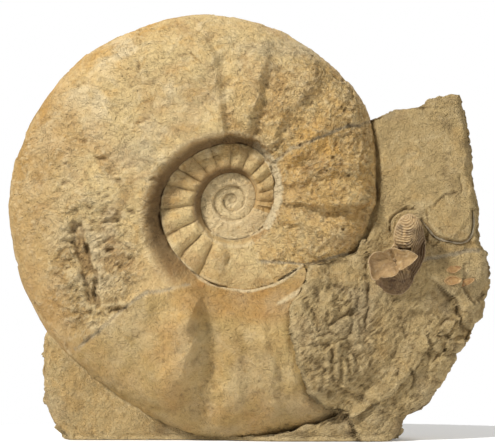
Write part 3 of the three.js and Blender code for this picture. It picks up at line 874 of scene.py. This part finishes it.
# Cracks and gouges: route, half width and depth.
GOUGES = [
    ([(66, 96), (76, 103), (86, 109)], 2.2, 3.0), ([(99, 129), (100, 113), (97, 92)], 1.5, 2.4),
    ([(70, 118), (80, 127)], 1.4, 1.6),
    ([(176, 112), (178, 98), (184, 92)], 1.4, 3.2), ([(164, 88), (172, 84), (182, 86)], 1.4, 3.0),
    ([(150, 88), (153, 80), (151, 70)], 1.3, 2.6), ([(136, 60), (139, 50), (137, 44)], 1.2, 2.4),
    ([(154, 66), (160, 74), (168, 76)], 1.2, 2.6), ([(177, 222), (178, 208)], 1.0, 1.2),
    ([(153, 192), (159, 199), (166, 204), (178, 206)], 1.2, 1.6), ([(166, 171), (160, 176)], 1.1, 1.8),
    ([(118, 175), (120, 184), (126, 191), (133, 194), (139, 193)], 1.3, 3.0),
    ([(155, 163), (160, 168)], 1.2, 2.2), ([(99.5, 157), (98.5, 145), (99.5, 134)], 1.0, 2.2),
]
for route, reach, depth in GOUGES:
    cut = line_distance(wx, wz, route)
    relief -= near * depth * (1 - ramp(cut, 0.2 * reach, 1.3 * reach)) * (0.75 + 0.5 * grain(points, 9, 99))
for px, pz, long in ((66, 66, 13), (73, 68, 15), (79, 60, 10), (86, 70, 8)):
    relief += near * 2.4 * blot(x + 0.5 * bend_x, z, (px, pz), (2.3, long), 0.5)
inside_shell = (x > 150) & (z > 166) & (x < 190) & (z < 205)
below_shell = line_distance(x, z, SHELL_LINE)
relief += near * inside_shell * 2.6 * ramp(below_shell, 0.5, 3.0) * (1 - ramp(z, 180, 205))
relief -= near * 1.8 * (1 - ramp(below_shell, 0.6, 2.2))
ROCK_GLUE = [(146, 150), (157, 153), (170, 155), (182, 158), (194, 159)]
glue = line_distance(x + 0.4 * bend_x, z + 0.7 * bend_z, ROCK_GLUE)
glue = near * (1 - ramp(glue, 0.6, 2.6))
relief -= 0.7 * glue
normals = point_normals(points, faces)
normals[(z < 0.1)] *= np.array([1, 1, 0])
grip = np.where(z < 0.1, 0.5, 1.0) * np.where(part == 4, 0.0, 1.0)
points = points + normals * (relief * grip)[:, None]
points[:, 2] = np.where(z < 0.1, 0.0, np.maximum(points[:, 2], 0.4))
points[:, 0] = np.clip(points[:, 0], low.x / MM - 2, high.x / MM + 1.5)
points[:, 1] = np.clip(points[:, 1], low.y / MM - 8, high.y / MM + 1)

run = np.arange(len(points)) % around / around
uv = np.stack([run, 0.1 + 0.9 * z / 290], 1)
hollows = hollowness(points, faces)
colours = {
    # Painted shade in the rock's hollows, and a painted shadow in the notch at the foot of the right edge;
    # raised edges are lightened, partly wear and partly painted highlight.
    "painted_shade": np.maximum(ramp(hollows, 0.05, 0.9), near * blot(x, z, (126, 11), (7, 9), 0.6)),
    "wear_and_highlight": ramp(-hollows, 0.05, 0.8),
    "grey": np.maximum(0.8 * glue, 0.30 * ramp(layered(points, 40, 3, 105), 0.1, 0.7)),
    "stain": np.maximum(0.55 * blot(x, z, (-150, 45), (50, 60), 0.5),
                        0.45 * ramp(layered(points, 30, 3, 106), 0.2, 0.7)),
}
rock_near = points[near]


def rock_level(x, z, reach=2.2):
    """Depth of the finished rock face near a place, in mm."""
    away = np.hypot(rock_near[:, 0] - x, rock_near[:, 2] - z)
    return float(np.mean(rock_near[away < max(reach, away.min() + 0.1), 1]))


KHAKI = (0.420, 0.300, 0.133, 1)
DARK_KHAKI = (0.290, 0.202, 0.088, 1)
SAND = (0.540, 0.410, 0.215, 1)
ROCK_OCHRE = (0.480, 0.300, 0.105, 1)
ROCK_GREY = (0.350, 0.285, 0.180, 1)

rock_stone, tree, shader, place = stone_material("khaki_limestone", 0.92)
colour = tinted(tree, KHAKI, DARK_KHAKI, cloud(tree, place, 30, 6, 0.45, 0.72, 0.5))
colour = tinted(tree, colour, SAND, times(tree, cloud(tree, place, 13, 6, 0.5, 0.72, 0.8), 0.7))
colour = tinted(tree, colour, ROCK_OCHRE, times(tree, layer_value(tree, "stain"),
                                                cloud(tree, place, 10, 5, 0.35, 0.65)))
colour = tinted(tree, colour, ROCK_GREY, layer_value(tree, "grey"))
# Raised edges lightened, partly wear and partly painted highlight; then painted shade in hollows.
colour = tinted(tree, colour, SAND, layer_value(tree, "wear_and_highlight", 0.4))
colour = tinted(tree, colour, SHADE_AND_SPECK_BROWN, layer_value(tree, "painted_shade", 0.55))
colour = tinted(tree, colour, SHADE_AND_SPECK_BROWN, times(tree, cloud(tree, place, 1.5, 3, 0.56, 0.72), 0.35))
tree.links.new(colour, shader.inputs["Base Color"])
bumped(tree, [
    (cloud(tree, place, 6, 6, 0.25, 0.75, 0.5), 1.7),
    (cloud(tree, place, 1.6, 3, 0.3, 0.7), 0.7),
    (ridged(tree, place, 5, 3, 1.6, 0.12), 0.3),
], shader)

rock = stone_mesh("bedding_rock", points, faces, uv, colours)
rock.data.materials.append(rock_stone)
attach(rock, "root")
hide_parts("matrix_block")

# ------------------------------------------------------------------ the curled oyster
# A small oyster that lies in the rock beside the coil. Its heavy left valve is curled over at
# the beak and has raised growth ridges. Its flat right valve is a thin, creased, broken plate.

OYSTER_OUTLINE = [
    (134, 189.6), (138.5, 188), (142.5, 184), (145.8, 173), (147.5, 161), (147, 154), (144.7, 148),
    (141.5, 142), (138, 137), (133.7, 127), (128.3, 122), (120, 121.5), (111.8, 124.9), (104.2, 129.3),
    (101.5, 135), (101.5, 145), (107, 153), (118, 157), (121.8, 164.5), (121.3, 172), (123.3, 179.7),
    (128, 187),
]
LID_OUTLINE = [
    (99.2, 150), (100.3, 153.4), (104.2, 157.3), (111.8, 157.5), (116.2, 160), (126, 159.2), (133.8, 158.6),
    (140.9, 154), (137, 149.6), (130.5, 145.2), (125, 142.3), (122.8, 138.8), (116.2, 136.6), (109.6, 136.6),
    (106.4, 133.7), (102.5, 134.8), (100.6, 143.6),
]
SLIT_Z = 161.2


def fan_grid(outline, middle, rows, columns, rounds=2):
    """Points from the middle of an outline to its edge: x, z and the share of the way out."""
    angles = np.linspace(0, 2 * math.pi, columns, endpoint=False)
    corners = np.array(outline) - middle
    corner_angles = np.arctan2(corners[:, 1], corners[:, 0]) % (2 * math.pi)
    order = np.argsort(corner_angles)
    reach = np.interp(angles, corner_angles[order], np.hypot(*corners.T)[order], period=2 * math.pi)
    for _ in range(rounds):
        reach = (np.roll(reach, 1) + 2 * reach + np.roll(reach, -1)) / 4
    share = np.linspace(0, 1, rows + 1)[1:]
    share, angle = np.meshgrid(share, angles, indexing="ij")
    out = share * reach[None, :]
    return (middle[0] + out * np.cos(angle)).ravel(), (middle[1] + out * np.sin(angle)).ravel(), share.ravel()


def capped_rings(rings):
    """Triangles over stacked closed rings with a point at each end, facing outwards."""
    columns = len(rings[0])
    total = len(rings) * columns
    index = np.arange(total).reshape(len(rings), columns)
    index = np.concatenate([index, index[:, :1]], 1)
    faces = [stitch(a, b)[:, ::-1] for a, b in zip(index, index[1:])]
    faces.append(np.stack([np.full(columns, total), index[0, 1:], index[0, :-1]], 1))
    faces.append(np.stack([np.full(columns, total + 1), index[-1, :-1], index[-1, 1:]], 1))
    return np.concatenate(faces)


def shell_solid(x, y, z, rows, columns, back_rings, back_middle, front_middle):
    """A closed solid: a front surface of fan rows, then rings behind it."""
    front = np.stack([x, y, z], 1).reshape(rows, columns, 3)
    rings = list(front) + back_rings
    points = np.concatenate(rings + [[front_middle], [back_middle]])
    return points, capped_rings(rings)


def outward(points, faces):
    """Turns the faces over if the solid's volume comes out negative."""
    a, b, c = points[faces[:, 0]], points[faces[:, 1]], points[faces[:, 2]]
    return faces if np.sum(np.cross(a, b) * c) > 0 else faces[:, ::-1]


def plate_layout(points, x0, x1, z0, z1, middle_y):
    """Bake layout for a small shell: its near side on the left, the rest on the right."""
    u = (points[:, 0] - x0) / (x1 - x0)
    v = (points[:, 2] - z0) / (z1 - z0)
    return np.stack([np.where(points[:, 1] < middle_y, 0.02 + 0.58 * u, 0.64 + 0.34 * u), 0.05 + 0.9 * v], 1)


def bulge(x, z, middle, half):
    return np.sqrt(np.maximum(1 - ((x - middle[0]) / half[0]) ** 2 - ((z - middle[1]) / half[1]) ** 2, 0))


rows, columns = 88, 240
x, z, share = fan_grid(OYSTER_OUTLINE, (129, 152), rows, columns)
beak = -33 - 14 * bulge(x, z, (133.2, 173.5), (13.6, 17.6))
beak = np.where((z < SLIT_Z) & (x < 135), beak + 10 * ramp(SLIT_Z - z, 0, 1.2), beak)
cheek = -26.5 - 13 * bulge(x, z, (122.5, 149), (24.5, 29.5))
y = np.minimum(beak, cheek)
growth = np.hypot((x - 130.5) / 0.9, z - 186.5)
flat = np.stack([x, y, z], 1)
rim_growth = 48 - 26 * (1 - share)
flank_side = ramp(x - 0.3 * (z - 150), 127, 139) * (1 - ramp(z, 160, 182))
growth = growth + (rim_growth - growth) * flank_side
growth = growth + 0.6 * grain(flat, 6, 121)
step = 2.15 + 0.5 * ramp(growth, 20, 45)
phase = growth / step - np.floor(growth / step)
ridge = ramp(phase, 0.0, 0.72) * (1 - ramp(phase, 0.78, 1.0))
worn_low = 1 - 0.75 * blot(x, z, (116, 129), (20, 9), 0.4)
y = y - (0.95 * ridge - 0.3) * worn_low * ramp(share, 0.0, 0.05) * (1 - 0.6 * ramp(share, 0.94, 1))
y = y - 0.35 * layered(flat, 5, 3, 123)
edge_x, edge_z = x.reshape(rows, columns)[-1], z.reshape(rows, columns)[-1]
edge_y = np.full(columns, -24.0)
back_rings = [
    np.stack([edge_x, np.maximum(y.reshape(rows, columns)[-1] + 3, edge_y), edge_z], 1),
    np.stack([129 + 0.9 * (edge_x - 129), edge_y + 5, 152 + 0.9 * (edge_z - 152)], 1),
    np.stack([129 + 0.5 * (edge_x - 129), edge_y + 8, 152 + 0.5 * (edge_z - 152)], 1),
]
points, faces = shell_solid(x, y, z, rows, columns, back_rings, [129, -15, 152],
                            [129, float(y[:columns].mean()), 152])
faces = outward(points, faces)
hollows = hollowness(points, faces, 4)
# Painted shade in the ridges' grooves, and raised edges lightened, partly wear and partly painted highlight.
# The shade layer darkens the valve's right side, which is painted shade, and its lower flank, which is partly
# the shell's darker brown and partly painted shade.
colours = {
    "painted_shade": ramp(hollows, 0.02, 0.30),
    "wear_and_highlight": ramp(-hollows, 0.02, 0.30),
    "shade": np.maximum(ramp(points[:, 0] - 0.25 * (points[:, 2] - 150), 129, 140) * (points[:, 2] < 180),
                        0.9 * (1 - ramp(points[:, 2], 132, 154))),
}


def shell_material(name, base, dark, light, roughness, grain_size):
    """Old shell: banded horn, a darker layer, painted shade in grooves, edges paled by wear and painted
    highlight.
    """
    material, tree, shader, place = stone_material(name, roughness)
    colour = tinted(tree, base, dark, cloud(tree, place, 6 * grain_size, 5, 0.42, 0.68, 0.8))
    colour = tinted(tree, colour, light, times(tree, cloud(tree, place, 3 * grain_size, 4, 0.5, 0.72), 0.5))
    # The darker layer is painted shade on the oyster's valves and a random mottle on the other shells.
    colour = tinted(tree, colour, dark, layer_value(tree, "shade", 0.85))
    colour = tinted(tree, colour, light, layer_value(tree, "wear_and_highlight", 0.5))
    colour = tinted(tree, colour, SHADE_AND_SPECK_BROWN, layer_value(tree, "painted_shade", 0.55))
    tree.links.new(colour, shader.inputs["Base Color"])
    bumped(tree, [
        (cloud(tree, place, 1.6 * grain_size, 4, 0.3, 0.7, 0.3), 0.35),
        (cloud(tree, place, 0.5 * grain_size, 2, 0.3, 0.7), 0.12),
    ], shader)
    return material


HORN = (0.430, 0.280, 0.122, 1)
DARK_HORN = (0.060, 0.028, 0.010, 1)
PALE_HORN = (0.560, 0.420, 0.245, 1)
oyster_horn = shell_material("horn_brown_shell", HORN, DARK_HORN, PALE_HORN, 0.6, 1.0)
layout = plate_layout(points, 98, 150, 118, 192, -26)
left_valve = stone_mesh("oyster_left_valve_ridged", points, faces, layout, colours)
left_valve.data.materials.append(oyster_horn)
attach(left_valve, "root")
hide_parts("oyster_left_valve")

rows, columns = 60, 220
x, z, share = fan_grid(LID_OUTLINE, (118, 147.5), rows, columns, 1)
flat = np.stack([x, x * 0, z], 1)
y = -45.2 + 5.0 * (1 - share ** 2.2)
fold = (x - 121.5) + 0.25 * (z - 150) + 0.6 * grain(flat, 6, 131)
y = y - 3.2 * ramp(fold, 0, 8) * ramp(share, 0.1, 0.5) + 1.5 * np.exp(-(fold / 1.5) ** 2)
y = y + 3.0 * ramp(x + 0.6 * (150 - z), 132, 144)
y = y - 1.3 * np.exp(-((share - 0.95) / 0.05) ** 2) * (x < 112)
dent = line_distance(x + grain(flat, 4, 132), z, [(103, 152), (109, 151), (115, 152.5)])
y = y + 0.8 * (1 - ramp(dent, 0.2, 1.0)) + 0.7 * blot(x, z, (107, 140), (5, 4), 0.6)
y = y - 0.45 * layered(flat, 7, 4, 133)
front = y.reshape(rows, columns)
side = np.stack([x, y, z], 1).reshape(rows, columns, 3)
inset = side[::-12].copy()
inset[:, :, 1] += 2.4
inset[0, :, 1] -= 1.2
middle_y = float(front[0].mean())
points, faces = shell_solid(x, y, z, rows, columns, list(inset), [118, middle_y + 2.4, 147.5],
                            [118, middle_y, 147.5])
faces = outward(points, faces)
hollows = hollowness(points, faces, 4)
lid_share = np.concatenate([share, np.zeros(len(points) - len(share))])
lid_share[len(share):len(share) + columns] = 1
# Painted shade in hollows, and a painted shadow along the lid's curled left edge and over its concave left
# part; the pale broken right edge is partly wear and partly painted highlight.
colours = {
    "painted_shade": ramp(hollows, 0.03, 0.40),
    "wear_and_highlight": np.maximum(ramp(-hollows, 0.03, 0.35), 0.8 * ramp(lid_share, 0.96, 0.99) * (points[:, 0] > 112)),
    "shade": np.maximum(0.8 * (1 - ramp(points[:, 0], 100, 106)), 0.35 * (1 - ramp(points[:, 0], 108, 124))),
}
LID_FAWN = (0.345, 0.220, 0.092, 1)
LID_SHADE = (0.215, 0.128, 0.052, 1)
LID_PALE = (0.520, 0.400, 0.245, 1)
lid_shell = shell_material("fawn_shell", LID_FAWN, LID_SHADE, LID_PALE, 0.55, 1.2)
layout = plate_layout(points, 97, 143, 131, 162, -30)
lid = stone_mesh("oyster_right_valve_broken", points, faces, layout, colours)
lid.data.materials.append(lid_shell)
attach(lid, "root")
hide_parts("oyster_right_valve")

# ------------------------------------------------------------------ the shell cut through
# Another shell of grey calcite, buried in the same mud as the ammonite. Only its broken edge
# shows in the rock's face: a thin wall, curved like a bowl.

route = np.array(SHELL_LINE)
run = np.concatenate([[0], np.cumsum(np.hypot(*np.diff(route, axis=0).T))])
along = np.linspace(0, run[-1], 150)
line = np.stack([np.interp(along, run, route[:, k]) for k in range(2)], 1)
for _ in range(60):
    line[1:-1] = (line[:-2] + 2 * line[1:-1] + line[2:]) / 4
heading = np.gradient(line, axis=0)
heading /= np.linalg.norm(heading, axis=1, keepdims=True)
across = np.stack([heading[:, 1], -heading[:, 0]], 1)
surface = np.array([rock_level(*place, reach=3.0) for place in line])
for _ in range(30):
    surface[1:-1] = (surface[:-2] + 2 * surface[1:-1] + surface[2:]) / 4
taper = np.clip(np.minimum(along, run[-1] - along) / 7, 0.25, 1)
WALL_PROFILE = [(-1, 9), (-1, 4), (-1, 0.6), (-0.75, 0), (-0.25, -0.35), (0.25, -0.35), (0.75, 0), (1, 0.6),
                (1, 4), (1, 9)]
rings = []
for side_way, depth in WALL_PROFILE:
    station = np.stack([line[:, 0], surface, line[:, 1]], 1)
    ragged = 1 + 0.8 * grain(station, 5, 141)
    station[:, [0, 2]] += across * (side_way * 0.85 * taper * ragged)[:, None]
    station[:, 1] += depth - 0.35 + 0.6 * grain(station, 3.5, 142) + 0.5 * grain(station, 11, 144)
    rings.append(station)
rings = list(np.stack(rings, 1))
points = np.concatenate(rings + [[rings[0].mean(0)], [rings[-1].mean(0)]])
faces = outward(points, capped_rings(rings))
hollows = hollowness(points, faces, 2)
# Painted shade in hollows, and raised edges lightened, partly wear and partly painted highlight; the shade
# layer here is only a random mottle.
colours = {"painted_shade": ramp(hollows, 0.1, 0.6), "wear_and_highlight": ramp(-hollows, 0.05, 0.4),
           "shade": 0.5 + 0.5 * layered(points, 12, 2, 143)}
SLATE = (0.410, 0.335, 0.210, 1)
DARK_SLATE = (0.240, 0.180, 0.105, 1)
PALE_SLATE = (0.520, 0.445, 0.320, 1)
grey_shell = shell_material("slate_grey_shell", SLATE, DARK_SLATE, PALE_SLATE, 0.6, 0.8)
ring_share = np.arange(len(points)) % len(WALL_PROFILE) / len(WALL_PROFILE)
layout = np.stack([np.arange(len(points)) // len(WALL_PROFILE) / 155, ring_share], 1)
shell_wall = stone_mesh("shell_wall_in_section", points, faces, layout, colours)
shell_wall.data.materials.append(grey_shell)
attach(shell_wall, "root")
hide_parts("shell_section")

# ------------------------------------------------------------------ the rusty shell fragments
# Three slivers of small calcite shells that were buried in the same mud. They are stained
# orange-brown, as iron stains shell, and lie about level with the rock's face.

FRAGMENTS = [
    ((171.6, 143.0), 7.0, 3.2, 10, 0.6),
    ((171.0, 133.4), 8.0, 4.0, 5, -0.4),
    ((182.5, 131.8), 8.2, 2.9, 24, 0.7),
]
RUSTY = (0.390, 0.235, 0.088, 1)
DARK_RUST = (0.250, 0.125, 0.042, 1)
PALE_RIM = (0.560, 0.410, 0.220, 1)
rusty_shell = shell_material("rusty_shell", RUSTY, DARK_RUST, PALE_RIM, 0.6, 0.8)
for number, (middle, long, wide, lean, crown) in enumerate(FRAGMENTS, 1):
    rows, columns = 22, 96
    angle = np.linspace(0, 2 * math.pi, columns, endpoint=False)
    lens = np.sin(angle) * np.abs(np.sin(angle)) ** 0.35
    along = np.cos(angle) * long
    up = lens * wide * (1 + 0.12 * np.sin(3 * angle + number))
    lean = math.radians(lean)
    outline_x = along * math.cos(lean) - up * math.sin(lean)
    outline_z = along * math.sin(lean) + up * math.cos(lean)
    share = np.repeat(np.linspace(0, 1, rows + 1)[1:], columns)
    x = middle[0] + share * np.tile(outline_x, rows)
    z = middle[1] + share * np.tile(outline_z, rows)
    flat = np.stack([x, x * 0, z], 1)
    face = rock_level(*middle, reach=4.0)
    rim_rise = 0.75 * np.exp(-((share - 0.86) / 0.09) ** 2)
    lines = 0.10 * np.cos(share * 26) * share
    y = face - 1.1 - crown * (1 - share ** 2) - rim_rise - lines + 2.6 * ramp(share, 0.93, 1)
    y = y - 0.2 * grain(flat, 3, 151)
    edge = np.stack([x, y, z], 1)[-columns:]
    deep = edge.copy()
    deep[:, 1] = face + 4
    points, faces = shell_solid(x, y, z, rows, columns, [deep], [middle[0], face + 4.2, middle[1]],
                                [middle[0], float(y[:columns].mean()), middle[1]])
    faces = outward(points, faces)
    hollows = hollowness(points, faces, 2)
    rim_tone = np.concatenate([np.exp(-((share - 0.86) / 0.08) ** 2), np.zeros(columns + 2)])
    # Painted shade in hollows; the pale rim band and raised edges are lightened, partly wear and partly
    # painted highlight; the shade layer is a random mottle.
    colours = {"painted_shade": ramp(hollows, 0.1, 0.6), "wear_and_highlight": np.maximum(0.5 * rim_tone, ramp(-hollows, 0.1, 0.5)),
               "shade": 0.4 + 0.5 * layered(points, 7, 2, 150 + number)}
    layout = plate_layout(points, middle[0] - 10, middle[0] + 10, middle[1] - 8, middle[1] + 8, face + 3)
    sliver = stone_mesh(f"rusty_sliver_{number}", points, faces, layout, colours)
    sliver.data.materials.append(rusty_shell)
    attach(sliver, "root")
    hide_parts(f"shell_fragment_{number}")

# ------------------------------------------------------------------ floor, light and camera
# The stone stands on a pale round floor, under a white sky that only the camera sees as
# bright. One strong soft lamp at the upper left models it, with two weak ones to fill.

plate = bmesh.new()
bmesh.ops.create_circle(plate, cap_ends=True, segments=96, radius=0.55)
floor_mesh = bpy.data.meshes.new("floor")
plate.to_mesh(floor_mesh)
floor = bpy.data.objects.new("floor", floor_mesh)
bpy.context.scene.collection.objects.link(floor)
floor.location = (0, -0.35, -0.0004)
floor_paint = bpy.data.materials.new("floor_paint")
floor_paint.use_nodes = True
floor_paint.node_tree.nodes["Principled BSDF"].inputs["Base Color"].default_value = (0.93, 0.93, 0.92, 1)
floor_paint.node_tree.nodes["Principled BSDF"].inputs["Roughness"].default_value = 0.9
floor.data.materials.append(floor_paint)
floor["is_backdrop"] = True

world = bpy.data.worlds.new("studio")
bpy.context.scene.world = world
world.use_nodes = True
sky = world.node_tree
backdrop = sky.nodes.new("ShaderNodeBackground")
backdrop.inputs["Color"].default_value = (1, 1, 1, 1)
backdrop.inputs["Strength"].default_value = 1.0
ambient = sky.nodes["Background"]
ambient.inputs["Color"].default_value = (1, 0.985, 0.96, 1)
ambient.inputs["Strength"].default_value = 0.19
choice = sky.nodes.new("ShaderNodeMixShader")
seen = sky.nodes.new("ShaderNodeLightPath")
sky.links.new(seen.outputs["Is Camera Ray"], choice.inputs["Fac"])
sky.links.new(ambient.outputs["Background"], choice.inputs[1])
sky.links.new(backdrop.outputs["Background"], choice.inputs[2])
sky.links.new(choice.outputs["Shader"], sky.nodes["World Output"].inputs["Surface"])
bpy.context.scene.view_settings.view_transform = "Standard"


def soft_light(name, place, size, watts):
    """A square lamp turned towards the middle of the stone."""
    lamp = bpy.data.lights.new(name, "AREA")
    lamp.energy = watts
    lamp.size = size
    holder = bpy.data.objects.new(name, lamp)
    holder.location = place
    holder.rotation_euler = (Vector((0, 0, 0.18)) - holder.location).to_track_quat("-Z", "Y").to_euler()
    bpy.context.scene.collection.objects.link(holder)


soft_light("key", (-1.62, -1.40, 1.86), 0.40, 114)
soft_light("side_fill", (2.0, -1.3, 1.0), 1.2, 27)
soft_light("back_fill", (0.9, 2.2, 1.6), 1.4, 40)

camera = bpy.data.cameras.new("camera")
camera.sensor_width = 36
camera_object = bpy.data.objects.new("camera", camera)
camera_object.location = (-0.0004, -2.407, 0.1819)
camera_object.rotation_euler = (math.pi / 2, 0, 0)
camera.lens = 36 * 2.4 / 0.4158
bpy.context.scene.collection.objects.link(camera_object)
bpy.context.scene.camera = camera_object

low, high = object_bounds()
